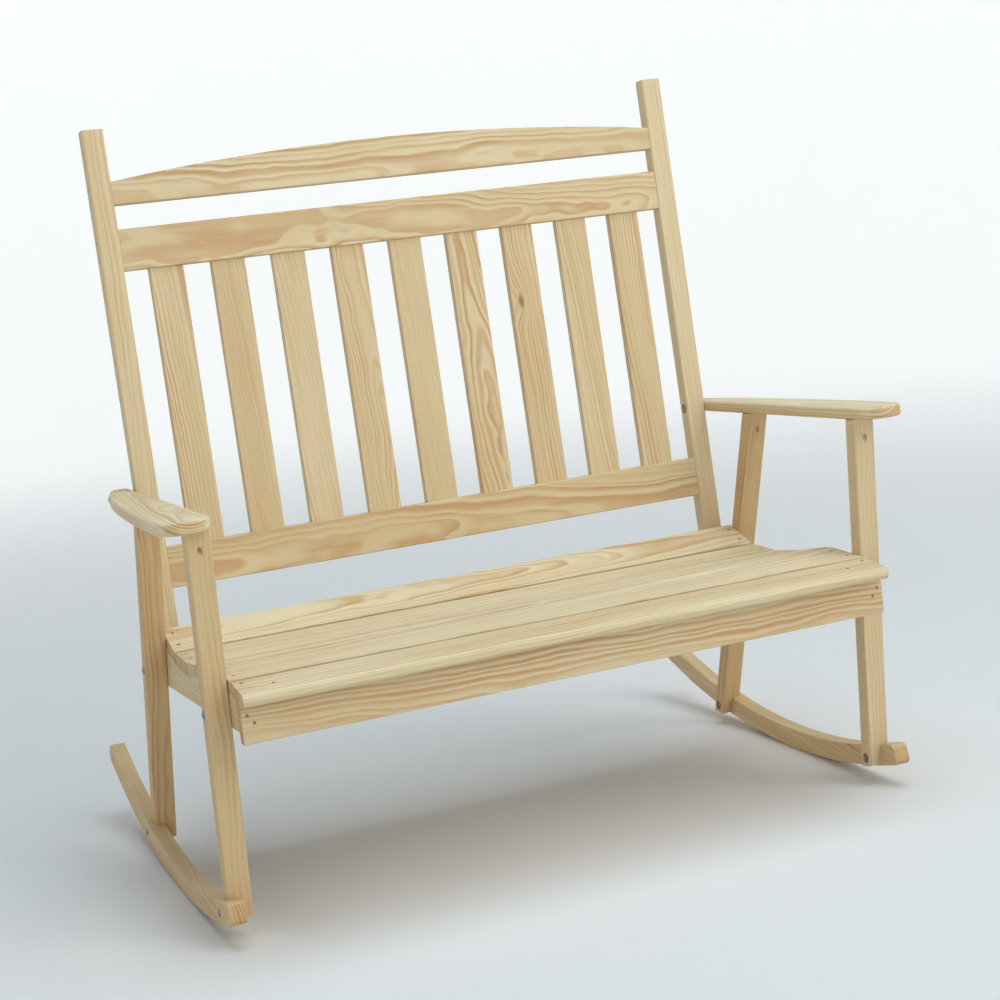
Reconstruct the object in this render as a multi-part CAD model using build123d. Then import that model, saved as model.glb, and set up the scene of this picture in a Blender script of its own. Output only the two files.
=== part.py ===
from build123d import *
from math import atan2, cos, degrees, radians, sin, sqrt
import os

# Two-seat rocking bench, all sizes in mm.
# The bench is drawn with its arms level, front towards -Y, +Z up, X = 0 in its middle.
# It is then tipped to the angle its own weight gives it and moved to its bottom centre.

# ---- driving sizes ----
half_inner_width = 524.0        # middle to the plane where legs, posts, arms and seat ends meet
stock_thickness = 27.0          # legs, posts, rockers and seat side rails, thin way
leg_width = 36.0                # legs, across the bench
post_width = 36.0               # back posts, across the bench
edge_round = 3.0                # eased long edges of legs and posts
board_round = 2.0               # eased long edges of boards, rails and slats

rocker_radius = 1328.0          # underside of the runner
rocker_depth = 34.0
rocker_centre_y = 285.0
rocker_front_angle = -13.1      # degrees from straight down, front end
rocker_rear_angle = 23.6        # degrees from straight down, rear end
rocker_end_round = 9.0
rocker_notch = 16.0             # how far the leg is notched over the runner
foot_clearance = 3.0            # leg foot above the runner's underside

arm_top = 621.0
arm_thickness = 19.0
arm_front_y = -65.0
arm_rear_y = 535.0
arm_rear_width = 28.0
arm_front_width = 78.0
arm_rear_round = 6.0
arm_edge_round = 4.5
arm_edge_slope = 0.30           # outer edge's run per length at its rear end
arm_bow_reach = 0.60            # where the outer edge is set, as a share from the nose back
arm_bow_share = 0.72            # how much of the widening is left there
arm_bolt_sink = 4.0             # seat of the arm bolt below the outer edge

front_leg_y = -23.5             # front face of the front leg at the arm's underside
front_leg_slope = 0.094         # run per rise, foot towards the back
rear_leg_y = 304.5              # front face of the rear leg at the arm's underside
rear_leg_slope = 0.392

back_y = 452.5                  # front face of the posts at the height back_z
back_z = 418.5
back_lean = 3.7                 # degrees
post_top = 790.0                # along the post, measured from back_z
back_rail_thickness = 24.0
back_rail_setback = 1.5
back_rail_height = 68.0
lower_rail_bottom = 36.0
upper_rail_bottom = 558.0
crest_bottom = 665.5
crest_end_height = 38.5
slat_count = 9
slat_width = 57.5
slat_thickness = 15.0
slat_setback = 4.5              # slat face behind the rail face
slat_end_gap = 41.65            # between an end slat and its post
tenon_length = 12.0

seat_thickness = 19.0
seat_gap = 7.0
nosing_round = 8.0
# top surface of the dished seat, front to back, as (y, z)
seat_profile = [
    (-80.0, 370.5),
    (-12.0, 381.5),
    (90.0, 389.0),
    (181.0, 373.5),
    (267.0, 365.5),
    (343.0, 370.0),
    (420.0, 397.5),
]

apron_front_y = -55.0
apron_thickness = 19.0
apron_bottom = 296.5
side_rail_front_z = 311.0       # underside of the side rail at the apron
side_rail_rear_z = 301.0        # underside of the side rail at the post

bolt_radius = 3.2
bolt_head_radius = 6.8
bolt_head_height = 3.2
bolt_spare = 1.5                # bolt end beyond its nut
nut_width = 11.0
nut_height = 5.6
recess_radius = 8.0
recess_depth = 8.0
spot_face_gap = 0.8             # round a bolt head let into the arm
seat_bolt_z = 335.0
screw_radius = 1.6
screw_head_radius = 2.5
screw_head_height = 1.9
drive_length = 2.7              # crossed slots in a screw head
drive_width = 0.7
drive_depth = 1.0
seat_screw_length = 38.0
seat_screw_share = 0.25         # of a board's width from its middle
nosing_screw_share = 0.33
nosing_screw_inset = 54.0       # from the seat's end
rail_screw_length = 70.0
rail_screw_share = 0.27         # of a rail's height from its edges
apron_screw_length = 46.0
apron_screw_heights = (326.0, 338.0)
apron_screw_shift = 4.5         # one towards the middle, the other away from it
foot_screw_length = 54.0
foot_screw_rows = (22.0, 54.0)  # up from the post's foot
pocket_angle = 30.0             # degrees off the leg's own line
pocket_radius = 3.7
pocket_drop = 32.0              # mouth of the pocket below the arm
pocket_depth = 16.0             # from the mouth to the seat of the screw's head
pocket_screw_length = 31.0
pocket_head_height = 2.0

hole_clearance = 0.08
tenon_clearance = 0.05
end_clearance = 0.5             # seat ends to the legs

wood_density = 0.00052          # g per cubic mm
steel_density = 0.00785

# ---- dependent sizes ----
leg_inner = half_inner_width
leg_outer = leg_inner + leg_width
leg_middle = leg_inner + leg_width / 2
post_inner = half_inner_width - post_width
post_middle = half_inner_width - post_width / 2
slat_pitch = (2 * (post_inner - slat_end_gap) - slat_width) / (slat_count - 1)
side_rail_inner = half_inner_width - stock_thickness
side_rail_middle = half_inner_width - stock_thickness / 2
runner_inner = leg_outer - rocker_notch
runner_outer = runner_inner + stock_thickness
runner_top_radius = rocker_radius - rocker_depth
arm_bottom = arm_top - arm_thickness
lean = radians(back_lean)
foot_z = side_rail_rear_z
foot_s = (foot_z - back_z) / cos(lean)
lower_rail_top = lower_rail_bottom + back_rail_height
apron_back_y = apron_front_y + apron_thickness
back_plane = Plane(
    origin=(0, back_y, back_z),
    x_dir=(1, 0, 0),
    z_dir=(0, -cos(lean), sin(lean)),
)


def side_plane(x):
    """Plane across the bench: its own x is Y, its own y is Z."""
    return Plane.YZ.offset(x)


def side_plate(outline, x_low, x_high):
    """Extrude a face drawn in (y, z) from x_low to x_high."""
    return extrude(side_plane(x_low) * outline, amount=x_high - x_low)


def disc(radius, x_low, x_high):
    """Disc round the rocker's centre line."""
    centre = Pos(rocker_centre_y, rocker_radius)
    return side_plate(centre * Circle(radius), x_low, x_high)


def stick(x_middle, start, end, width, depth, rounding):
    """Square stock with eased edges between two (y, z) points on its middle line."""
    dy = end[0] - start[0]
    dz = end[1] - start[1]
    section = Plane(origin=(x_middle, start[0], start[1]), x_dir=(1, 0, 0), z_dir=(0, dy, dz))
    return extrude(section * RectangleRounded(width, depth, rounding), amount=sqrt(dy**2 + dz**2))


def spin(points, crown=None):
    """Turn a half outline of (radius, height) points round Z; crown bows the last edge."""
    if crown is None:
        outline = Polyline(*points, close=True)
        face = make_face(outline)
    else:
        body = Polyline(*points)
        dome = ThreePointArc(points[-1], crown, (0, points[-1][1] + bolt_head_height))
        stem = Line((0, points[-1][1] + bolt_head_height), points[0])
        face = make_face([body, dome, stem])
    return revolve(Plane.XZ * face, Axis.Z)


def carriage_bolt(length):
    """Domed bolt standing on Z = 0 with its shank down."""
    sphere = (bolt_head_radius**2 + bolt_head_height**2) / (2 * bolt_head_height)
    half = bolt_head_radius / 2
    rise = sqrt(sphere**2 - half**2) - (sphere - bolt_head_height)
    points = [(0, -length), (bolt_radius, -length), (bolt_radius, 0), (bolt_head_radius, 0)]
    return spin(points, (half, rise))


def across(x_low, x_high, y, z, radius):
    """Round bar lying across the bench, for boring holes."""
    bar = Cylinder(radius, x_high - x_low)
    return Pos((x_low + x_high) / 2, y, z) * Rot(Y=90) * bar


def bolt_bore(x, y, z):
    """Clearance hole for a bolt, well through the piece at x."""
    return across(x - 2 * leg_width, x + 2 * leg_width, y, z, bolt_radius + hole_clearance)


def nut_recess(x, y, z):
    """Round recess for a nut, sunk outwards from the inner face at x."""
    return across(x - recess_depth, x + recess_depth, y, z, recess_radius)


def nut():
    """Hexagonal nut, seated on Z = 0 and standing up."""
    blank = extrude(RegularPolygon(nut_width / 2, 6, major_radius=False), amount=nut_height)
    return blank - Pos(0, 0, nut_height / 2) * Cylinder(bolt_radius + hole_clearance, 2 * nut_height)


def wood_screw(length, grow=0.0):
    """Countersunk screw, head flush with Z = 0 and pointing down."""
    shank = screw_radius + grow
    head = screw_head_radius + grow
    points = [
        (0, grow),
        (head, grow),
        (shank, -screw_head_height - grow),
        (shank, -length + 2 * screw_radius),
        (0, -length - grow),
    ]
    if grow:
        return spin(points)
    slot = Box(drive_length, drive_width, 2 * drive_depth)
    return spin(points) - slot - Rot(Z=90) * slot


def looking(origin, direction):
    """Place something drawn on Z so that its Z points along direction."""
    return Location(Plane(origin=origin, z_dir=direction))


def both_sides(item):
    return [item, mirror(item, about=Plane.YZ)]


def group(items):
    return Compound(children=[solid for item in items for solid in item.solids()])


def leg_face_y(y_top, slope, z):
    """Front face of a leg at the height z."""
    return y_top + slope * (arm_bottom - z)


def leg_centre_y(y_top, slope, z):
    return leg_face_y(y_top, slope, z) + stock_thickness / 2 * sqrt(1 + slope**2)


def runner_centre_z(y):
    middle = rocker_radius - rocker_depth / 2
    return rocker_radius - sqrt(middle**2 - (y - rocker_centre_y) ** 2)


def rocker_bolt_point(y_top, slope):
    """Where a leg's middle line meets the middle of the runner."""
    z = 0.0
    for _ in range(20):
        z = runner_centre_z(leg_centre_y(y_top, slope, z))
    return leg_centre_y(y_top, slope, z), z


leg_kinds = {
    "front": (front_leg_y, front_leg_slope),
    "rear": (rear_leg_y, rear_leg_slope),
}


def make_leg(y_top, slope):
    """Right-hand leg: under the arm at the top, notched over the runner at the foot."""
    top = (leg_centre_y(y_top, slope, arm_top), arm_top)
    low = (leg_centre_y(y_top, slope, -rocker_depth), -rocker_depth)
    leg = stick(leg_middle, low, top, leg_width, stock_thickness, edge_round)
    leg -= Pos(leg_middle, top[0], arm_bottom + 100) * Box(200, 300, 200)
    leg &= disc(rocker_radius - foot_clearance, leg_inner - 10, leg_outer + 10)
    reach = disc(rocker_radius + 200, runner_inner, leg_outer + 10)
    leg -= reach - disc(runner_top_radius, runner_inner - 5, leg_outer + 15)
    y, z = rocker_bolt_point(y_top, slope)
    leg -= bolt_bore(leg_outer, y, z)
    leg -= nut_recess(leg_inner, y, z)
    leg -= bolt_bore(leg_outer, leg_centre_y(y_top, slope, seat_bolt_z), seat_bolt_z)
    shank, pocket = pocket_holes(y_top, slope)
    return leg - shank - pocket


def pocket_place(y_top, slope):
    """Head seat of the pocket screw; its Z runs up the screw."""
    angle = radians(pocket_angle) - atan2(slope, 1)
    back = sin(angle)
    up = cos(angle)
    mouth_z = arm_bottom - pocket_drop
    y = leg_face_y(y_top, slope, mouth_z) + pocket_depth * back
    z = mouth_z + pocket_depth * up
    return looking((leg_middle, y, z), (0, back, up))


def pocket_holes(y_top, slope):
    place = pocket_place(y_top, slope)
    length = pocket_screw_length + hole_clearance
    shank = place * Pos(0, 0, length / 2) * Cylinder(screw_radius + hole_clearance, length)
    pocket = place * Pos(0, 0, -pocket_depth) * Cylinder(pocket_radius, 2 * pocket_depth)
    return shank, pocket


def pocket_screw(y_top, slope):
    shank = Pos(0, 0, pocket_screw_length / 2) * Cylinder(screw_radius, pocket_screw_length)
    head = Pos(0, 0, -pocket_head_height / 2) * Cylinder(screw_head_radius, pocket_head_height)
    return pocket_place(y_top, slope) * (shank + head)


def rocker_point(radius, angle):
    swing = radians(angle)
    return (rocker_centre_y + radius * sin(swing), rocker_radius - radius * cos(swing))


def make_rocker():
    middle = (rocker_front_angle + rocker_rear_angle) / 2
    corners = [
        rocker_point(rocker_radius, rocker_front_angle),
        rocker_point(rocker_radius, middle),
        rocker_point(rocker_radius, rocker_rear_angle),
        rocker_point(runner_top_radius, rocker_rear_angle),
        rocker_point(runner_top_radius, middle),
        rocker_point(runner_top_radius, rocker_front_angle),
    ]
    under = ThreePointArc(*corners[:3])
    over = ThreePointArc(*corners[3:])
    outline = make_face([under, Line(corners[2], corners[3]), over, Line(corners[5], corners[0])])
    outline = fillet(outline.vertices(), rocker_end_round)
    rocker = side_plate(outline, runner_inner, runner_outer)
    rocker = fillet(rocker.faces().filter_by(Axis.X).edges(), board_round)
    for y_top, slope in leg_kinds.values():
        rocker -= bolt_bore(runner_outer, *rocker_bolt_point(y_top, slope))
    return rocker


def arm_bolt_point():
    """Middle of the post at half the arm's thickness."""
    z = arm_top - arm_thickness / 2
    s = (z - back_z) / cos(lean)
    y = back_y + s * sin(lean) + stock_thickness / 2 / cos(lean)
    return y, z


def arm_outline():
    inner = half_inner_width
    radius = arm_front_width / 2
    centre_y = arm_front_y + radius
    outer = inner + arm_front_width
    rear_corner = (inner + arm_rear_width, arm_rear_y)
    length = arm_rear_y - centre_y
    bow = inner + arm_rear_width + arm_bow_share * (arm_front_width - arm_rear_width)
    points = [rear_corner, (bow, centre_y + arm_bow_reach * length), (outer, centre_y)]
    side = Spline(*points, tangents=[(arm_edge_slope, -1), (0, -1)])
    nose = ThreePointArc((outer, centre_y), (inner + radius, arm_front_y), (inner, centre_y))
    edge = Line((inner, centre_y), (inner, arm_rear_y))
    end = Line((inner, arm_rear_y), rear_corner)
    outline = make_face([side, nose, edge, end])
    return fillet(outline.vertices().sort_by(Axis.Y)[-2:], arm_rear_round)


def make_arm():
    arm = extrude(arm_outline(), amount=arm_thickness)
    arm = fillet(arm.faces().filter_by(Axis.Z).edges(), arm_edge_round)
    arm = Pos(0, 0, arm_bottom) * arm
    y, z = arm_bolt_point()
    seat = arm_bolt_seat()
    arm -= bolt_bore(leg_inner, y, z)
    arm -= across(seat, seat + arm_front_width, y, z, bolt_head_radius + spot_face_gap)
    for y_top, slope in leg_kinds.values():
        shank, pocket = pocket_holes(y_top, slope)
        arm -= shank
    return arm


def arm_bolt_seat():
    """X of the flat under the arm bolt's head, just inside the arm's outer edge."""
    y, z = arm_bolt_point()
    edge = half_inner_width + arm_rear_width + arm_edge_slope * (arm_rear_y - y)
    return edge - arm_bolt_sink


def back_box(x_low, x_high, s_low, s_high, depth_front, depth_back, rounding):
    """Board in the plane of the back, long edges eased; x or s is the long way."""
    wide = x_high - x_low
    high = s_high - s_low
    deep = depth_back - depth_front
    middle = ((x_low + x_high) / 2, (s_low + s_high) / 2, -(depth_front + depth_back) / 2)
    board = Box(wide, high, deep)
    long_way = Axis.X if wide > high else Axis.Y
    board = fillet(board.edges().filter_by(long_way), rounding)
    return Location(back_plane) * Pos(*middle) * board


def slat_middles():
    first = -(slat_count - 1) / 2 * slat_pitch
    return [first + index * slat_pitch for index in range(slat_count)]


def slat_depths():
    front = back_rail_setback + slat_setback
    return front, front + slat_thickness


def make_slat(x):
    front, back = slat_depths()
    low = lower_rail_top - tenon_length
    high = upper_rail_bottom + tenon_length
    return back_box(x - slat_width / 2, x + slat_width / 2, low, high, front, back, board_round)


def slat_mortises():
    front, back = slat_depths()
    gap = tenon_clearance
    low = lower_rail_top - tenon_length - gap
    high = upper_rail_bottom + tenon_length + gap
    half = slat_width / 2 + gap
    return [
        back_box(x - half, x + half, low, high, front - gap, back + gap, board_round)
        for x in slat_middles()
    ]


def screw_rows(bottom, height):
    inset = rail_screw_share * height
    return [bottom + inset, bottom + height - inset]


def rail_screw_places():
    """Heads on the posts' outer faces, screws running inwards into the rail ends."""
    rows = screw_rows(lower_rail_bottom, back_rail_height)
    rows += screw_rows(upper_rail_bottom, back_rail_height)
    rows += screw_rows(crest_bottom, crest_end_height)
    depth = back_rail_setback + back_rail_thickness / 2
    places = []
    for s in rows:
        spot = back_plane.from_local_coords((half_inner_width, s, -depth))
        places.append(looking(spot, (1, 0, 0)))
    return places


def cut_rail_screws(piece):
    for place in rail_screw_places():
        for tool in both_sides(place * wood_screw(rail_screw_length, hole_clearance)):
            piece -= tool
    return piece


def make_back_rail(bottom, mortises):
    depth = (back_rail_setback, back_rail_setback + back_rail_thickness)
    rail = back_box(-post_inner, post_inner, bottom, bottom + back_rail_height, *depth, board_round)
    for mortise in mortises:
        rail -= mortise
    return cut_rail_screws(rail)


def make_crest():
    """Top rail: straight underside, arched top."""
    low = crest_bottom
    end = crest_bottom + crest_end_height
    top = crest_bottom + back_rail_height
    under = Line((-post_inner, low), (post_inner, low))
    right = Line((post_inner, low), (post_inner, end))
    arch = ThreePointArc((post_inner, end), (0, top), (-post_inner, end))
    left = Line((-post_inner, end), (-post_inner, low))
    face = make_face([under, right, arch, left])
    front = back_plane.offset(-back_rail_setback)
    crest = extrude(front * face, amount=-back_rail_thickness)
    faces = crest.faces().sort_by(Axis.Y)
    rims = [e for f in (faces[0], faces[-1]) for e in f.edges() if e.length > half_inner_width]
    crest = fillet(rims, board_round)
    return cut_rail_screws(crest)


def make_post():
    post = Box(post_width, post_top - foot_s, stock_thickness)
    post = fillet(post.edges().filter_by(Axis.Y), edge_round)
    tops = post.faces().sort_by(Axis.Y)[-1].edges()
    post = fillet(tops, edge_round / 2)
    post = Pos(post_middle, (post_top + foot_s) / 2, -stock_thickness / 2) * post
    post = Location(back_plane) * post
    y, z = arm_bolt_point()
    post -= bolt_bore(half_inner_width, y, z)
    post -= nut_recess(post_inner, y, z)
    for place in foot_screw_places():
        post -= place * wood_screw(foot_screw_length, hole_clearance)
    return cut_rail_screws(post)


def foot_screw_places():
    """Heads on the back of the post's foot, screws running forward into the side rail."""
    toward_back = (0, cos(lean), -sin(lean))
    places = []
    for row in foot_screw_rows:
        spot = back_plane.from_local_coords((side_rail_middle, foot_s + row, -stock_thickness))
        places.append(looking(spot, toward_back))
    return places


def offset_profile(depth):
    """The seat's top line moved down square to itself by depth."""
    lines = []
    for (y0, z0), (y1, z1) in zip(seat_profile, seat_profile[1:]):
        angle = atan2(z1 - z0, y1 - y0)
        lines.append((y0 + depth * sin(angle), z0 - depth * cos(angle), angle))
    points = [lines[0][:2]]
    for (ya, za, a), (yb, zb, b) in zip(lines, lines[1:]):
        reach = ((yb - ya) * sin(b) - (zb - za) * cos(b)) / sin(b - a)
        points.append((ya + reach * cos(a), za + reach * sin(a)))
    y1, z1 = seat_profile[-1]
    a = lines[-1][2]
    points.append((y1 + depth * sin(a), z1 - depth * cos(a)))
    return points


def height_on(profile, y):
    """Height of a line of points at y, its end pieces run on."""
    pairs = list(zip(profile, profile[1:]))
    chosen = pairs[-1]
    for pair in pairs:
        if y <= pair[1][0]:
            chosen = pair
            break
    (y0, z0), (y1, z1) = chosen
    return z0 + (z1 - z0) * (y - y0) / (y1 - y0)


def board_places():
    """For each seat board: the middle of its top, its angle and its width."""
    angles = [atan2(b[1] - a[1], b[0] - a[0]) for a, b in zip(seat_profile, seat_profile[1:])]
    places = []
    for index, (start, end) in enumerate(zip(seat_profile, seat_profile[1:])):
        angle = angles[index]
        trims = []
        for other in (index - 1, index + 1):
            if not 0 <= other < len(angles):
                trims.append(0.0)
                continue
            bend = (angles[other] - angle) * (1 if other < index else -1)
            trims.append(seat_gap / 2 + max(0.0, seat_thickness * bend / 2))
        length = sqrt((end[0] - start[0]) ** 2 + (end[1] - start[1]) ** 2)
        width = length - trims[0] - trims[1]
        reach = trims[0] + width / 2
        y = start[0] + reach * cos(angle)
        z = start[1] + reach * sin(angle)
        places.append((y, z, angle, width))
    return places


def board_plane(place, x=0.0):
    """Plane on a seat board's top: its own x runs back, its own z runs to +X."""
    y, z, angle, width = place
    return Plane(origin=(x, y, z), x_dir=(0, cos(angle), sin(angle)), z_dir=(1, 0, 0))


def seat_screw_places():
    """Screw seats on the boards' tops, two to a board end."""
    places = []
    for index, place in enumerate(board_places()):
        y, z, angle, width = place
        normal = (0, -sin(angle), cos(angle))
        if index == 0:
            spots = [(half_inner_width - nosing_screw_inset, 0.0)]
            spots += [(side_rail_middle, nosing_screw_share * width)]
        else:
            spots = [(side_rail_middle, side * seat_screw_share * width) for side in (-1, 1)]
        for x, along in spots:
            spot = (x, y + along * cos(angle), z + along * sin(angle))
            places.append((index, looking(spot, normal)))
    return places


def make_seat_board(index):
    place = board_places()[index]
    width = place[3]
    length = half_inner_width - end_clearance
    section = Pos(0, -seat_thickness / 2) * Rectangle(width, seat_thickness)
    if index == 0:
        corners = section.vertices()
        nose = corners.sort_by(Axis.X)[:2]
        section = fillet(nose, nosing_round)
        heel = section.vertices().sort_by(Axis.X)[-2:]
        section = fillet(heel, board_round)
    else:
        section = fillet(section.vertices(), board_round)
    board = extrude(board_plane(place) * section, amount=length, both=True)
    for owner, spot in seat_screw_places():
        if owner == index:
            for tool in both_sides(spot * wood_screw(seat_screw_length, hole_clearance)):
                board -= tool
    return board


def apron_screw_places():
    """Heads on the apron's face, screws running back into the side rail ends."""
    places = []
    for side, z in zip((-1, 1), apron_screw_heights):
        x = side_rail_middle + side * apron_screw_shift
        places.append(looking((x, apron_front_y, z), (0, -1, 0)))
    return places


def make_apron():
    under = offset_profile(seat_thickness)
    points = [
        (apron_front_y, apron_bottom),
        (apron_back_y, apron_bottom),
        (apron_back_y, height_on(under, apron_back_y)),
        (apron_front_y, height_on(under, apron_front_y)),
    ]
    outline = make_face(Polyline(*points, close=True))
    low = outline.vertices().sort_by(Axis.Y)[:2]
    outline = fillet(low, board_round)
    apron = side_plate(outline, -half_inner_width, half_inner_width)
    for place in apron_screw_places():
        for tool in both_sides(place * wood_screw(apron_screw_length, hole_clearance)):
            apron -= tool
    for owner, spot in seat_screw_places():
        if owner == 0:
            for tool in both_sides(spot * wood_screw(seat_screw_length, hole_clearance)):
                apron -= tool
    return apron


def make_side_rail():
    under = offset_profile(seat_thickness)
    post_foot_y = back_y + (foot_z - back_z) * sin(lean) / cos(lean)
    rise = under[-1][1] - under[-2][1]
    run = under[-1][0] - under[-2][0]
    line = rise / run
    tilt = sin(lean) / cos(lean)
    # where the last board's underside line meets the post's face
    meet_z = (under[-1][1] + line * (back_y - tilt * back_z - under[-1][0])) / (1 - line * tilt)
    meet_y = back_y + tilt * (meet_z - back_z)
    points = [(apron_back_y, side_rail_front_z), (post_foot_y, side_rail_rear_z), (meet_y, meet_z)]
    points += [point for point in reversed(under) if apron_back_y < point[0] < meet_y]
    points += [(apron_back_y, height_on(under, apron_back_y))]
    outline = make_face(Polyline(*points, close=True))
    rail = side_plate(outline, side_rail_inner, half_inner_width)
    underside = rail.faces().sort_by(Axis.Z)[0]
    rail = fillet(underside.edges().sort_by(SortBy.LENGTH)[-2:], board_round)
    for y_top, slope in leg_kinds.values():
        rail -= bolt_bore(half_inner_width, leg_centre_y(y_top, slope, seat_bolt_z), seat_bolt_z)
    for place in apron_screw_places():
        rail -= place * wood_screw(apron_screw_length, hole_clearance)
    for place in foot_screw_places():
        rail -= place * wood_screw(foot_screw_length, hole_clearance)
    for owner, spot in seat_screw_places():
        rail -= spot * wood_screw(seat_screw_length, hole_clearance)
    return rail


def bolt_with_nut(head_x, nut_x, y, z):
    """Carriage bolt pushed in from outside at head_x, and its nut seated at nut_x."""
    length = head_x - nut_x + nut_height + bolt_spare
    bolt = looking((head_x, y, z), (1, 0, 0)) * carriage_bolt(length)
    return bolt, looking((nut_x, y, z), (-1, 0, 0)) * nut()


def bolts_and_nuts():
    """Bolt and nut groups by name."""
    fixings = {"rocker": [], "seat": [], "arm": []}
    for y_top, slope in leg_kinds.values():
        y, z = rocker_bolt_point(y_top, slope)
        fixings["rocker"].append(bolt_with_nut(runner_outer, leg_inner + recess_depth, y, z))
        y = leg_centre_y(y_top, slope, seat_bolt_z)
        fixings["seat"].append(bolt_with_nut(leg_outer, side_rail_inner, y, seat_bolt_z))
    y, z = arm_bolt_point()
    fixings["arm"].append(bolt_with_nut(arm_bolt_seat(), post_inner + recess_depth, y, z))
    groups = {}
    for name, pairs_made in fixings.items():
        groups[name + "_bolts"] = group([side for bolt, _ in pairs_made for side in both_sides(bolt)])
        groups[name + "_nuts"] = group([side for _, made in pairs_made for side in both_sides(made)])
    return groups


def screws_at(places, length):
    return group([side for spot in places for side in both_sides(spot * wood_screw(length))])


def screw_groups():
    pockets = [pocket_screw(*kind) for kind in leg_kinds.values()]
    seat_places = [spot for _, spot in seat_screw_places()]
    return {
        "seat_screws": screws_at(seat_places, seat_screw_length),
        "back_rail_screws": screws_at(rail_screw_places(), rail_screw_length),
        "apron_screws": screws_at(apron_screw_places(), apron_screw_length),
        "post_foot_screws": screws_at(foot_screw_places(), foot_screw_length),
        "arm_pocket_screws": group([side for screw in pockets for side in both_sides(screw)]),
    }


wood = {}
pairs = {
    "rocker": make_rocker(),
    "front_leg": make_leg(*leg_kinds["front"]),
    "rear_leg": make_leg(*leg_kinds["rear"]),
    "side_rail": make_side_rail(),
    "back_post": make_post(),
    "armrest": make_arm(),
}
for name, piece in pairs.items():
    wood[name + "_right"], wood[name + "_left"] = both_sides(piece)
wood["apron"] = make_apron()
for number in range(len(seat_profile) - 1):
    wood["seat_board_" + str(number + 1)] = make_seat_board(number)
mortises = slat_mortises()
wood["lower_back_rail"] = make_back_rail(lower_rail_bottom, mortises)
wood["upper_back_rail"] = make_back_rail(upper_rail_bottom, mortises)
wood["crest_rail"] = make_crest()
for number, x in enumerate(slat_middles()):
    wood["back_slat_" + str(number + 1)] = make_slat(x)

steel = bolts_and_nuts()
steel.update(screw_groups())

# The bench rolls on its runners until its weight hangs straight under their centre.
mass = 0.0
moment_y = 0.0
moment_z = 0.0
for pieces, density in ((wood, wood_density), (steel, steel_density)):
    for piece in pieces.values():
        for solid in piece.solids():
            weight = solid.volume * density
            centre = solid.center(CenterOf.MASS)
            mass += weight
            moment_y += weight * centre.Y
            moment_z += weight * centre.Z
ahead = rocker_centre_y - moment_y / mass
below = rocker_radius - moment_z / mass
tip = Rot(X=degrees(atan2(ahead, below)))

everything = {**wood, **steel}
tipped = {name: tip * piece for name, piece in everything.items()}
box = group(list(tipped.values())).bounding_box()
home = Pos(0, -(box.min.Y + box.max.Y) / 2, -box.min.Z)

os.makedirs("parts", exist_ok=True)
for name, piece in tipped.items():
    placed = home * piece
    placed.label = name
    export_step(placed, "parts/" + name + ".step")
print("tip", round(degrees(atan2(ahead, below)), 3), "mass kg", round(mass / 1000, 2))
print("box", box.size, "nodes", len(everything))
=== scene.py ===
import math

import bpy
import numpy as np
from mathutils import Matrix, Vector


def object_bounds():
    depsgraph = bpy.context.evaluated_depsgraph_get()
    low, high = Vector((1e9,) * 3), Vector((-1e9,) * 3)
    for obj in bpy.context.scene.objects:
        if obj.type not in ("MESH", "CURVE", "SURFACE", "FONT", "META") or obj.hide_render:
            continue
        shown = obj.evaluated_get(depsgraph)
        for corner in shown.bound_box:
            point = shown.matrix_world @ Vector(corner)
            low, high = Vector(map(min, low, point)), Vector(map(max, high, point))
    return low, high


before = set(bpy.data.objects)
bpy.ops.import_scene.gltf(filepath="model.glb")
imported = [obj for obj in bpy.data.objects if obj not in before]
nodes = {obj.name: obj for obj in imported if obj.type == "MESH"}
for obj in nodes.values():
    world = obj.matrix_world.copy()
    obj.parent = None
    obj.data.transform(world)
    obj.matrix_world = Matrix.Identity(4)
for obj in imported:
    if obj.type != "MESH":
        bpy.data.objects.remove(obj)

cad_low, cad_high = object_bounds()
scene = bpy.context.scene


# ---- colours ----
SAPWOOD_DEEP = (0.660, 0.545, 0.325)
SAPWOOD_PALE = (0.735, 0.640, 0.420)
WARM_WOOD = (0.610, 0.430, 0.215)
RING = (0.560, 0.345, 0.170)
WARM_RING = (0.500, 0.275, 0.112)
RESIN_CANAL = (0.36, 0.22, 0.10)
END_GRAIN = (0.90, 0.84, 0.76)           # multiplies the wood's own colour
KNOT_HEART = (0.25, 0.125, 0.050)
# dark brown for the eased edges: handling grime, and painted shade for the gaps on the seat boards
EDGE_GRIME_AND_GAP_SHADE = (0.40, 0.28, 0.145)
BOLT_METAL = (0.34, 0.33, 0.31)
SCREW_METAL = (0.36, 0.28, 0.17)
PAPER = (0.715, 0.70, 0.675)
PAPER_PALE = (0.74, 0.725, 0.70)
BACKDROP_GLOW = (0.96, 0.98, 1.0)
KEY_LIGHT = (1.0, 0.985, 0.955)
SKY_LIGHT = (0.72, 0.875, 1.0)
STUDIO_AIR = (0.93, 0.96, 1.0)

# ---- sizes in metres ----
WAVE_OF_RINGS_AT_KNOT = 0.011
FINE_SHAKE = 0.0022
EDGE_REACH = 0.0028
PLAIN_EDGE = 0.22                        # share of grime along the eased edges
# share of edge darkening on the seat boards: mostly painted shade in the gaps between boards, with some
# grime
SEAT_GRIME_AND_GAP_SHADE = 0.8
FLOOR_GLOW_FROM = 1.3
FLOOR_GLOW_TO = 7.5
GLOW = 0.47                              # emission where the floor has become backdrop


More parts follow.
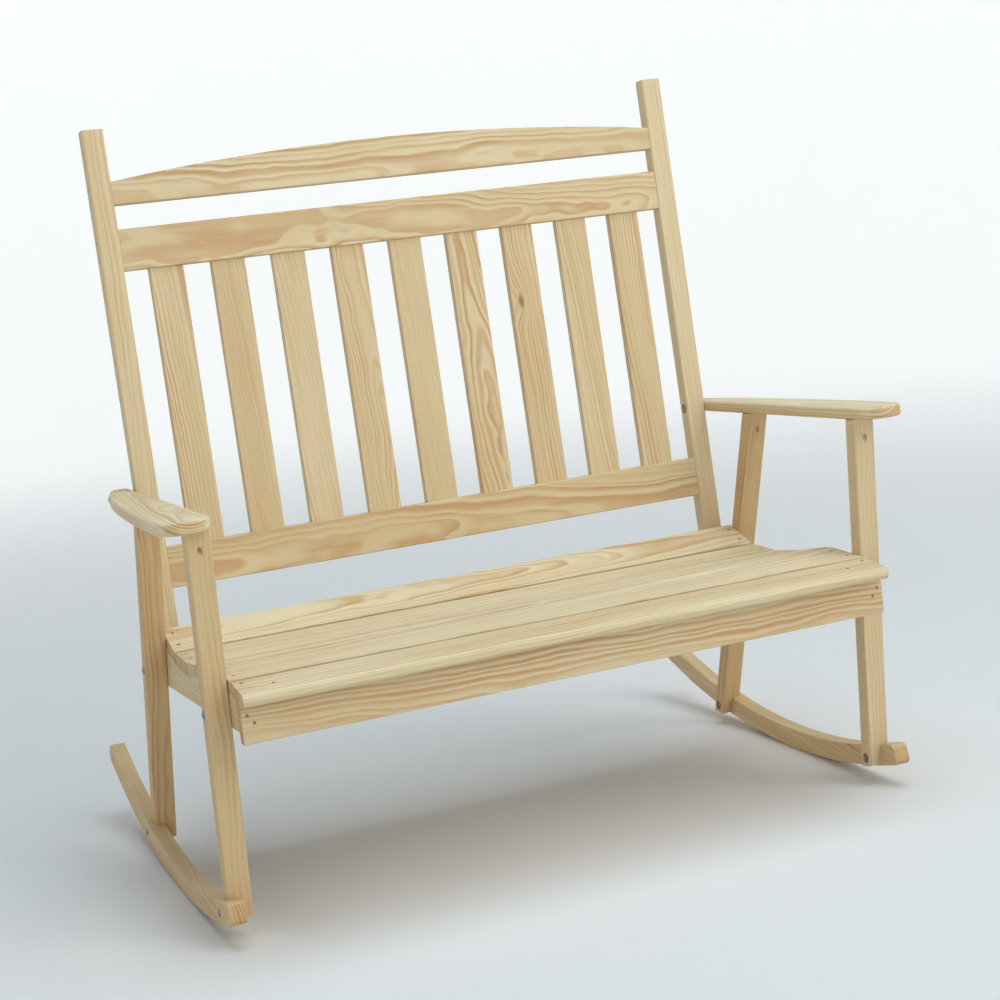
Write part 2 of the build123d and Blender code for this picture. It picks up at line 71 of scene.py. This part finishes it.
# ---- small helpers for node trees ----
class Tree:
    """Adds and joins shader nodes without much writing."""

    def __init__(self, tree):
        self.tree = tree

    def add(self, kind, **settings):
        node = self.tree.nodes.new(kind)
        for name, value in settings.items():
            setattr(node, name, value)
        return node

    def put(self, value, socket):
        if isinstance(value, bpy.types.NodeSocket):
            self.tree.links.new(value, socket)
        elif value is not None:
            socket.default_value = value

    def math(self, operation, a, b=None, c=None):
        node = self.add("ShaderNodeMath", operation=operation)
        for value, socket in zip((a, b, c), node.inputs):
            self.put(value, socket)
        return node.outputs[0]

    def vector(self, operation, a, b=None, scale=None):
        node = self.add("ShaderNodeVectorMath", operation=operation)
        self.put(a, node.inputs[0])
        self.put(b, node.inputs[1])
        if scale is not None:
            self.put(scale, node.inputs["Scale"])
        return node.outputs["Value" if operation in ("LENGTH", "DOT_PRODUCT") else "Vector"]

    def noise(self, place, scale=1.0, detail=2.0, rough=0.5, dimensions="3D"):
        node = self.add("ShaderNodeTexNoise", noise_dimensions=dimensions)
        if dimensions == "1D":
            self.put(place, node.inputs["W"])
        else:
            self.put(place, node.inputs["Vector"])
        node.inputs["Scale"].default_value = scale
        node.inputs["Detail"].default_value = detail
        node.inputs["Roughness"].default_value = rough
        return node.outputs

    def remap(self, value, low, high, to_low=0.0, to_high=1.0, kind="SMOOTHSTEP"):
        node = self.add("ShaderNodeMapRange", interpolation_type=kind)
        self.put(value, node.inputs["Value"])
        for name, number in (("From Min", low), ("From Max", high), ("To Min", to_low), ("To Max", to_high)):
            self.put(number, node.inputs[name])
        return node.outputs["Result"]

    def mix(self, share, a, b, blend="MIX"):
        node = self.add("ShaderNodeMix", data_type="RGBA", blend_type=blend)
        self.put(share, node.inputs["Factor"])
        self.put(a, node.inputs["A"])
        self.put(b, node.inputs["B"])
        return node.outputs["Result"]


def shade(rgb):
    return (*rgb, 1.0)


def shake(t, place, stretch, detail, rough, amount):
    """A random push of every point, amount metres from side to side."""
    push = t.noise(t.vector("MULTIPLY", place, stretch), 1.0, detail, rough)["Color"]
    return t.vector("SCALE", t.vector("SUBTRACT", push, (0.5, 0.5, 0.5)), scale=amount)


def new_material(name):
    material = bpy.data.materials.new(name)
    material.use_nodes = True
    return material, Tree(material.node_tree), material.node_tree.nodes["Principled BSDF"]


def add_bump(t, shader, height, strength, distance):
    bump = t.add("ShaderNodeBump")
    bump.inputs["Strength"].default_value = strength
    bump.inputs["Distance"].default_value = distance
    t.put(height, bump.inputs["Height"])
    t.put(bump.outputs["Normal"], shader.inputs["Normal"])


# ---- pine ----
def make_pine_group():
    """Sawn pine as a solid: growth rings about a pith line, seen wherever the board's faces cut them."""
    group = bpy.data.node_groups.new("sawn_pine", "ShaderNodeTree")
    t = Tree(group)
    sockets = [
        ("Place", "NodeSocketVector", (0, 0, 0)),      # metres: x along the board, y across, z through
        ("Facing", "NodeSocketVector", (0, 0, 1)),     # normal in the same directions
        ("Pith", "NodeSocketVector", (0, 0, -0.06)),
        ("Seed", "NodeSocketFloat", 0.0),
        ("Rings", "NodeSocketFloat", 220.0),
        ("Waver", "NodeSocketFloat", 0.012),
        ("Taper", "NodeSocketFloat", 0.01),
        ("Depth", "NodeSocketFloat", 0.6),
        ("Warmth", "NodeSocketFloat", 0.3),
        ("Knot", "NodeSocketVector", (0, 0, 0)),
        ("Knot size", "NodeSocketFloat", 0.0),
        ("Edge", "NodeSocketFloat", PLAIN_EDGE),
    ]
    for name, kind, value in sockets:
        group.interface.new_socket(name, in_out="INPUT", socket_type=kind).default_value = value
    results = (("Color", "NodeSocketColor"), ("Roughness", "NodeSocketFloat"), ("Height", "NodeSocketFloat"))
    for name, kind in results:
        group.interface.new_socket(name, in_out="OUTPUT", socket_type=kind)
    given = t.add("NodeGroupInput").outputs
    out = t.add("NodeGroupOutput")

    seeds = t.add("ShaderNodeCombineXYZ")
    for index, factor in enumerate((13.71, 7.33, 3.19)):
        t.put(t.math("MULTIPLY", given["Seed"], factor), seeds.inputs[index])
    place = t.vector("ADD", given["Place"], seeds.outputs[0])

    # knot: an eye of its own grain that pushes the rings round it
    away = t.vector("SUBTRACT", given["Place"], given["Knot"])
    away = t.vector("MULTIPLY", away, (0.42, 1.0, 0.25))
    away = t.math("DIVIDE", t.vector("LENGTH", away), t.math("MAXIMUM", given["Knot size"], 0.0001))
    eye = t.math("POWER", 2.718, t.math("MULTIPLY", t.math("MULTIPLY", away, away), -0.16))

    # the rings drift slowly along the board, wave, and shake finely
    slow = shake(t, place, (1.7, 7.0, 7.0), 2.5, 0.45, t.math("MULTIPLY", given["Waver"], 2.4))
    quick = shake(t, place, (11.0, 55.0, 55.0), 3.0, 0.55, FINE_SHAKE)
    wave = shake(t, place, (8.0, 15.0, 15.0), 2.0, 0.5, t.math("MULTIPLY", given["Waver"], 0.7))
    spot = t.vector("SUBTRACT", given["Place"], given["Pith"])
    spot = t.vector("ADD", t.vector("ADD", t.vector("ADD", spot, slow), wave), quick)
    parts = t.add("ShaderNodeSeparateXYZ")
    t.put(spot, parts.inputs[0])
    across = t.math("MULTIPLY", parts.outputs["Y"], parts.outputs["Y"])
    through = t.math("MULTIPLY", parts.outputs["Z"], parts.outputs["Z"])
    radius = t.math("SQRT", t.math("ADD", across, through))
    radius = t.math("ADD", radius, t.math("MULTIPLY", parts.outputs["X"], given["Taper"]))
    radius = t.math("ADD", radius, t.math("MULTIPLY", eye, WAVE_OF_RINGS_AT_KNOT))
    phase = t.math("MULTIPLY", radius, given["Rings"])
    uneven = t.noise(t.math("ADD", t.math("MULTIPLY", phase, 0.31), given["Seed"]), 1.0, 2.0, 0.5, "1D")[0]
    phase = t.math("ADD", phase, t.math("MULTIPLY", uneven, 2.2))
    ring = t.math("FLOOR", phase)
    part_ring = t.math("FRACT", phase)
    late = t.remap(part_ring, 0.12, 0.82)
    late = t.math("MULTIPLY", late, t.remap(part_ring, 0.86, 1.0, 1.0, 0.0))
    strength = t.add("ShaderNodeTexWhiteNoise", noise_dimensions="1D")
    t.put(t.math("ADD", ring, t.math("MULTIPLY", given["Seed"], 5.0)), strength.inputs["W"])
    strength = t.remap(strength.outputs["Value"], 0.0, 1.0, 0.45, 1.15, "LINEAR")
    patch = t.noise(t.vector("MULTIPLY", place, (3.1, 26.0, 26.0)), 1.0, 3.0, 0.6)[0]
    patch = t.remap(patch, 0.3, 0.66, 0.45, 1.2)
    late = t.math("MULTIPLY", t.math("MULTIPLY", late, strength), patch)

    # fibres and resin canals
    fibre = t.noise(t.vector("MULTIPLY", place, (28.0, 620.0, 620.0)), 1.0, 3.0, 0.6)[0]
    canals = t.noise(t.vector("MULTIPLY", place, (70.0, 1500.0, 1500.0)), 1.0, 1.0, 0.4)[0]
    canals = t.remap(canals, 0.66, 0.78)
    broad = t.noise(t.vector("MULTIPLY", place, (2.3, 11.0, 11.0)), 1.0, 2.0, 0.5)[0]

    # end grain: where the face looks along the board
    facing = t.add("ShaderNodeSeparateXYZ")
    t.put(given["Facing"], facing.inputs[0])
    end = t.remap(t.math("ABSOLUTE", facing.outputs["X"]), 0.55, 0.8)

    pale = t.mix(t.remap(broad, 0.32, 0.68), shade(SAPWOOD_DEEP), shade(SAPWOOD_PALE))
    pale = t.mix(given["Warmth"], pale, shade(WARM_WOOD))
    dark = t.mix(given["Warmth"], shade(RING), shade(WARM_RING))
    share = t.math("MULTIPLY", late, given["Depth"])
    share = t.math("MULTIPLY", share, t.remap(end, 0.0, 1.0, 1.0, 1.7, "LINEAR"))
    share = t.math("MINIMUM", share, 1.0)
    colour = t.mix(share, pale, dark)
    fleck = t.remap(fibre, 0.25, 0.75, 0.93, 1.06, "LINEAR")
    fleck_colour = t.add("ShaderNodeCombineColor")
    for socket in fleck_colour.inputs[:3]:
        t.put(fleck, socket)
    colour = t.mix(1.0, colour, fleck_colour.outputs[0], "MULTIPLY")
    colour = t.mix(t.math("MULTIPLY", canals, 0.22), colour, shade(RESIN_CANAL))
    end_colour = t.mix(1.0, colour, shade(END_GRAIN), "MULTIPLY")
    colour = t.mix(end, colour, end_colour)
    heart = t.remap(away, 0.35, 1.15, 1.0, 0.0)
    colour = t.mix(t.math("MULTIPLY", heart, 0.8), colour, shade(KNOT_HEART))

    # eased edges are a little polished and dirty from handling; on the seat boards this edge darkening is
    # mostly painted shade for the gaps between boards
    bevel = t.add("ShaderNodeBevel", samples=4)
    bevel.inputs["Radius"].default_value = EDGE_REACH
    geometry = t.add("ShaderNodeNewGeometry")
    same = t.vector("DOT_PRODUCT", bevel.outputs[0], geometry.outputs["Normal"])
    edge_grime_and_shade = t.remap(same, 0.80, 0.985, 1.0, 0.0)
    colour = t.mix(t.math("MULTIPLY", edge_grime_and_shade, given["Edge"]), colour, shade(EDGE_GRIME_AND_GAP_SHADE))

    rough = t.remap(late, 0.0, 1.0, 0.66, 0.54, "LINEAR")
    rough = t.math("ADD", rough, t.math("MULTIPLY", t.math("SUBTRACT", fibre, 0.5), 0.25))
    rough = t.math("ADD", rough, t.math("MULTIPLY", end, 0.16))
    height = t.math("MULTIPLY", late, 0.55)
    height = t.math("ADD", height, t.math("MULTIPLY", fibre, 0.55))
    height = t.math("SUBTRACT", height, t.math("MULTIPLY", canals, 0.6))
    chatter = t.add("ShaderNodeSeparateXYZ")
    t.put(given["Place"], chatter.inputs[0])
    chatter = t.math("SINE", t.math("MULTIPLY", chatter.outputs["X"], 2200.0))
    height = t.math("ADD", height, t.math("MULTIPLY", chatter, 0.10))
    t.put(colour, out.inputs["Color"])
    t.put(rough, out.inputs["Roughness"])
    t.put(height, out.inputs["Height"])
    return group


PINE = make_pine_group()


def board_frame(node):
    """The board's own directions from its shape: longest, middle and thinnest, and its middle."""
    co = np.array([v.co for v in nodes[node].data.vertices], float).reshape(-1, 3)
    low, high = co.min(0), co.max(0)
    middle = (low + high) / 2
    faces = nodes[node].data.polygons
    area = np.array([p.area for p in faces])
    centres = np.array([p.center for p in faces], float).reshape(-1, 3)
    spread = (centres - np.average(centres, axis=0, weights=area)) * np.sqrt(area)[:, None]
    _, vectors = np.linalg.eigh(spread.T @ spread)
    long_way, wide_way = vectors[:, 2], vectors[:, 1]
    long_way = long_way * np.sign(long_way[np.argmax(np.abs(long_way))])
    wide_way = wide_way * np.sign(wide_way[np.argmax(np.abs(wide_way))])
    thin_way = np.cross(long_way, wide_way)
    return Matrix((long_way, wide_way, thin_way)), Vector(middle)


def pine_material(node, pith, seed, rings=230.0, waver=0.012, taper=0.01, depth=0.6, warmth=0.3,
                  knot=(0, 0, 0), knot_size=0.0, edge_grime_and_shade=PLAIN_EDGE):
    turn, middle = board_frame(node)
    material, t, shader = new_material("pine_" + node)
    coordinates = t.add("ShaderNodeTexCoord")
    mapping = t.add("ShaderNodeMapping", vector_type="POINT")
    mapping.inputs["Rotation"].default_value = turn.to_euler("XYZ")
    mapping.inputs["Location"].default_value = -(turn @ middle)
    t.put(coordinates.outputs["Object"], mapping.inputs["Vector"])
    facing = t.add("ShaderNodeMapping", vector_type="NORMAL")
    facing.inputs["Rotation"].default_value = turn.to_euler("XYZ")
    t.put(coordinates.outputs["Normal"], facing.inputs["Vector"])
    pine = t.add("ShaderNodeGroup", node_tree=PINE)
    t.put(mapping.outputs[0], pine.inputs["Place"])
    t.put(facing.outputs[0], pine.inputs["Facing"])
    values = {"Pith": pith, "Seed": seed, "Rings": rings, "Waver": waver, "Taper": taper,
              "Depth": depth, "Warmth": warmth, "Knot": knot, "Knot size": knot_size,
              "Edge": edge_grime_and_shade}
    for name, value in values.items():
        pine.inputs[name].default_value = value
    t.put(pine.outputs["Color"], shader.inputs["Base Color"])
    t.put(pine.outputs["Roughness"], shader.inputs["Roughness"])
    shader.inputs["IOR"].default_value = 1.45
    shader.inputs["Specular IOR Level"].default_value = 0.42
    add_bump(t, shader, pine.outputs["Height"], 0.35, 0.0004)
    return material


def plated_material(name, seed, tint, rough):
    """Dulled plating with faint clouding and fine scratches."""
    material, t, shader = new_material(name)
    place = t.add("ShaderNodeTexCoord").outputs["Object"]
    place = t.vector("ADD", place, (seed, seed * 0.7, seed * 0.3))
    cloud = t.noise(place, 420.0, 3.0, 0.6)[0]
    scratch = t.noise(t.vector("MULTIPLY", place, (2600.0, 260.0, 2600.0)), 1.0, 2.0, 0.5)[0]
    dim = [0.78 * part for part in tint]
    colour = t.mix(t.remap(cloud, 0.3, 0.7), shade(dim), shade(tint))
    t.put(colour, shader.inputs["Base Color"])
    shader.inputs["Metallic"].default_value = 1.0
    t.put(t.remap(cloud, 0.25, 0.75, rough, rough + 0.18, "LINEAR"), shader.inputs["Roughness"])
    add_bump(t, shader, scratch, 0.25, 0.0001)
    return material


def dress(node, material):
    piece = nodes[node]
    piece.data.materials.clear()
    piece.data.materials.append(material)
    for face in piece.data.polygons:
        face.material_index = 0


# Each board's own cut of the log. Pith is where the log's middle lay, in the board's own
# directions: below the face gives broad figure, off to one side gives straight lines.
BOARDS = {
    "crest_rail": dict(pith=(0, -0.022, -0.042), seed=1.3, rings=150, waver=0.017, taper=0.020,
                       depth=0.95),
    "upper_back_rail": dict(pith=(0, -0.010, -0.046), seed=2.1, rings=185, waver=0.022, taper=0.016,
                            depth=1.00),
    "lower_back_rail": dict(pith=(0, -0.020, -0.060), seed=3.7, rings=170, waver=0.016, taper=0.010,
                            depth=0.85),
    "apron": dict(pith=(0, -0.045, -0.050), seed=4.9, rings=190, waver=0.014, taper=0.004,
                  depth=1.00),
    # seat boards take the heavy edge darkening: painted shade for the gaps between them, with some grime
    "seat_board_1": dict(pith=(0, -0.060, -0.045), seed=5.3, rings=170, waver=0.014,
                         depth=0.85, edge_grime_and_shade=SEAT_GRIME_AND_GAP_SHADE, warmth=0.0),
    "seat_board_2": dict(pith=(0, 0.050, -0.055), seed=6.1, rings=170, waver=0.012,
                         depth=0.80, edge_grime_and_shade=SEAT_GRIME_AND_GAP_SHADE, warmth=0.0),
    "seat_board_3": dict(pith=(0, -0.075, -0.050), seed=7.9, rings=170, waver=0.014,
                         depth=0.80, edge_grime_and_shade=SEAT_GRIME_AND_GAP_SHADE, warmth=0.0),
    "seat_board_4": dict(pith=(0, 0.085, -0.040), seed=8.3, rings=170, waver=0.010,
                         depth=0.85, edge_grime_and_shade=SEAT_GRIME_AND_GAP_SHADE, warmth=0.0),
    "seat_board_5": dict(pith=(0, -0.060, -0.060), seed=9.7, rings=170, waver=0.014,
                         depth=0.85, edge_grime_and_shade=SEAT_GRIME_AND_GAP_SHADE, warmth=0.0),
    "seat_board_6": dict(pith=(0, 0.010, -0.050), seed=10.9, rings=200, waver=0.014, taper=0.03,
                         depth=0.90, edge_grime_and_shade=SEAT_GRIME_AND_GAP_SHADE, warmth=0.2),
    "back_slat_1": dict(pith=(0, 0.050, -0.035), seed=11.2, rings=220, waver=0.012, depth=1.00),
    "back_slat_2": dict(pith=(0, 0.080, -0.030), seed=12.4, rings=300, waver=0.008,
                        depth=0.95, warmth=0.42),
    "back_slat_3": dict(pith=(0, -0.075, -0.030), seed=13.9, rings=260, waver=0.010, depth=0.85),
    "back_slat_4": dict(pith=(0, 0.020, -0.055), seed=14.2, rings=320, waver=0.014, taper=0.02,
                        depth=0.95, warmth=0.50),
    "back_slat_5": dict(pith=(0, -0.110, -0.040), seed=15.5, rings=330, waver=0.006, depth=0.60),
    "back_slat_6": dict(pith=(0, 0.006, -0.036), seed=16.8, rings=160, waver=0.026, taper=0.03,
                        depth=1.00, warmth=0.36),
    "back_slat_7": dict(pith=(0, 0.040, -0.045), seed=17.1, rings=260, waver=0.014, taper=0.02, depth=0.95,
                        warmth=0.46, knot=(0.095, -0.004, 0.0), knot_size=0.0065),
    "back_slat_8": dict(pith=(0, 0.095, -0.040), seed=18.6, rings=230, waver=0.009, depth=0.80),
    "back_slat_9": dict(pith=(0, 0.060, -0.045), seed=19.4, rings=210, waver=0.012, depth=0.95),
    "back_post_left": dict(pith=(0, 0.060, -0.060), seed=20.2, rings=200, waver=0.010, depth=0.55),
    "back_post_right": dict(pith=(0, -0.070, 0.060), seed=21.6, rings=240, waver=0.008, depth=0.55),
    "front_leg_left": dict(pith=(0, 0.040, 0.055), seed=22.3, rings=190, waver=0.010,
                           depth=0.50, warmth=0.75),
    "front_leg_right": dict(pith=(0, -0.050, 0.050), seed=23.8, rings=200, waver=0.010,
                            depth=0.50, warmth=0.36),
    "rear_leg_left": dict(pith=(0, 0.020, 0.045), seed=24.5, rings=230, waver=0.010,
                          depth=0.80, warmth=0.95),
    "rear_leg_right": dict(pith=(0, 0.045, -0.050), seed=25.9, rings=210, waver=0.012,
                           depth=0.80, warmth=0.95),
    "side_rail_left": dict(pith=(0, 0.030, 0.060), seed=26.4, rings=210, waver=0.012,
                           depth=0.50, warmth=0.40),
    "side_rail_right": dict(pith=(0, 0.020, -0.060), seed=27.7, rings=210, waver=0.012,
                            depth=0.50, warmth=0.40),
    "armrest_left": dict(pith=(0, 0.025, -0.060), seed=28.1, rings=230, waver=0.010,
                         depth=0.70, warmth=0.0),
    "armrest_right": dict(pith=(0, -0.030, -0.055), seed=29.3, rings=230, waver=0.010,
                          depth=0.70, warmth=0.1),
    "rocker_left": dict(pith=(0, 0.030, 0.070), seed=30.8, rings=210, waver=0.014, taper=0.02,
                        depth=0.80, warmth=0.70),
    "rocker_right": dict(pith=(0, 0.020, -0.070), seed=31.5, rings=210, waver=0.014, taper=0.02,
                         depth=0.80, warmth=0.70),
}
for node, cut in BOARDS.items():
    dress(node, pine_material(node, **cut))

bolt_metal = plated_material("zinc_bolts", 0.31, BOLT_METAL, 0.42)
screw_metal = plated_material("zinc_screws", 0.77, SCREW_METAL, 0.50)
for node in nodes:
    if node not in BOARDS:
        dress(node, screw_metal if node.endswith("screws") else bolt_metal)


# ---- stage: a pale bowl-shaped floor that runs up into its own backdrop ----
def make_bowl(floor_radius=6.5, bend=3.0, height=5.5, steps=96, rings=24):
    profile = [(0.0, 0.0), (floor_radius * 0.5, 0.0), (floor_radius, 0.0)]
    for index in range(1, rings + 1):
        angle = math.pi / 2 * index / rings
        profile.append((floor_radius + bend * math.sin(angle), bend * (1 - math.cos(angle))))
    profile.append((floor_radius + bend, height))
    verts, faces = [], []
    for radius, z in profile:
        for step in range(steps):
            turn = 2 * math.pi * step / steps
            verts.append((radius * math.cos(turn), radius * math.sin(turn), z))
    for ring in range(len(profile) - 1):
        for step in range(steps):
            after = (step + 1) % steps
            faces.append((ring * steps + step, ring * steps + after,
                          (ring + 1) * steps + after, (ring + 1) * steps + step))
    mesh = bpy.data.meshes.new("studio_floor")
    mesh.from_pydata(verts, [], faces)
    mesh.update()
    for face in mesh.polygons:
        face.use_smooth = True
    bowl = bpy.data.objects.new("studio_floor", mesh)
    scene.collection.objects.link(bowl)
    return bowl


bowl = make_bowl()
paper, t, shader = new_material("studio_paper")
cloud = t.noise(t.add("ShaderNodeTexCoord").outputs["Object"], 0.6, 2.0, 0.5)[0]
t.put(t.mix(cloud, shade(PAPER), shade(PAPER_PALE)), shader.inputs["Base Color"])
shader.inputs["Roughness"].default_value = 0.9
outward = t.vector("MULTIPLY", t.add("ShaderNodeTexCoord").outputs["Object"], (1.0, 1.0, 0.0))
glow = t.remap(t.vector("LENGTH", outward), FLOOR_GLOW_FROM, FLOOR_GLOW_TO, 0.0, GLOW)
shader.inputs["Emission Color"].default_value = shade(BACKDROP_GLOW)
t.put(glow, shader.inputs["Emission Strength"])
bowl.data.materials.append(paper)


# ---- light ----
def area_light(name, place, target, size, power, colour):
    data = bpy.data.lights.new(name, "AREA")
    data.shape = "DISK"
    data.size = size
    data.energy = power
    data.color = colour
    lamp = bpy.data.objects.new(name, data)
    lamp.location = place
    lamp.rotation_mode = "QUATERNION"
    lamp.rotation_quaternion = (Vector(target) - Vector(place)).to_track_quat("-Z", "Y")
    scene.collection.objects.link(lamp)
    return lamp


middle = (cad_low + cad_high) / 2
area_light("key", middle + Vector((3.4, -5.2, 5.2)), middle, 5.0, 236.0, KEY_LIGHT)
area_light("top", middle + Vector((0.4, -0.8, 6.4)), middle, 5.5, 345.0, SKY_LIGHT)

world = bpy.data.worlds.new("studio_air")
world.use_nodes = True
world.node_tree.nodes["Background"].inputs["Color"].default_value = shade(STUDIO_AIR)
world.node_tree.nodes["Background"].inputs["Strength"].default_value = 0.05
scene.world = world
scene.view_settings.view_transform = "Standard"

# ---- camera: low, from the front left, slightly rolled ----
camera = bpy.data.cameras.new("camera")
camera.sensor_width = 36.0
camera.lens = 69.20
camera.shift_x = 0.0397
camera.shift_y = -0.0331
camera.clip_start = 0.05
camera.clip_end = 60.0
viewer = bpy.data.objects.new("camera", camera)
right = Vector((0.92467346, -0.36333254, -0.11387915))
down = Vector((-0.15105293, -0.07549825, -0.98563839))
ahead = Vector((0.34951683, 0.92859543, -0.12469367))
turn = Matrix((right, -down, -ahead)).transposed()
viewer.matrix_world = Matrix.Translation((-1.1220564, -2.9806599, 0.984748)) @ turn.to_4x4()
scene.collection.objects.link(viewer)
scene.camera = viewer
